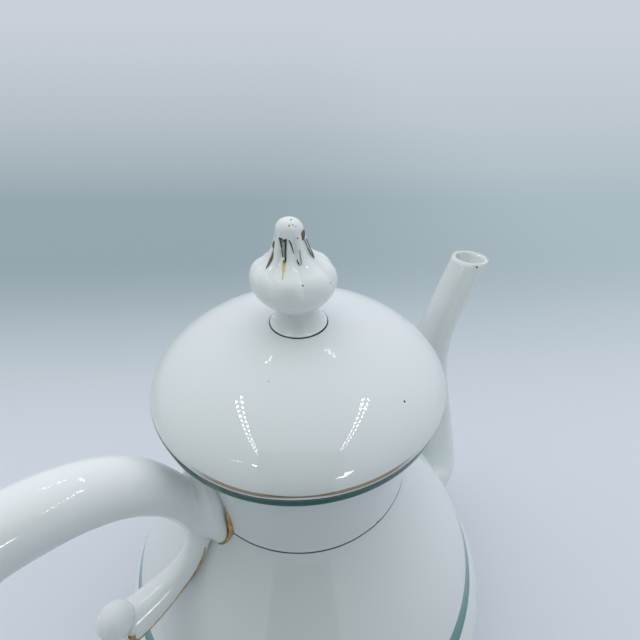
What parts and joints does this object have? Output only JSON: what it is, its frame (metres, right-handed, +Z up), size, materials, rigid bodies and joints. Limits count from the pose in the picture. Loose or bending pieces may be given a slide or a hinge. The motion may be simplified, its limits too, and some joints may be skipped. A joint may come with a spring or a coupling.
{
  "type": "porcelain coffee jug",
  "caption": "Tall pear-shaped porcelain coffee jug with a swan-neck spout, a scrolled loop handle and a lift-off mushroom lid with a fluted knob.",
  "frame": {"origin": "on the table plane, midway between the beak of the spout and the back of the handle", "axes": "+X from the handle towards the spout, +Z up, +Y to the left of someone looking along +X"},
  "size_m": [0.2324, 0.164, 0.2165],
  "materials": {
    "glazed_porcelain": "clear gloss glaze over white porcelain",
    "bare_porcelain": "unglazed, ground smooth where it stands"
  },
  "bodies": {
    "pot": {"body_shell": "glazed_porcelain", "neck_collar": "glazed_porcelain", "foot_ring": "bare_porcelain", "spout": "glazed_porcelain", "handle_loop": "glazed_porcelain", "handle_scroll": "glazed_porcelain", "scroll_ball": "glazed_porcelain"},
    "lid": {"lid_dome": "glazed_porcelain", "lid_flange": "glazed_porcelain", "lid_knob": "glazed_porcelain", "knob_finial": "glazed_porcelain"}
  },
  "joints": [
    {"name": "lid_lift", "type": "slide", "parent": "pot", "child": "lid", "axis": [0, 0, 1], "range_m": [0, 0.06]}
  ]
}
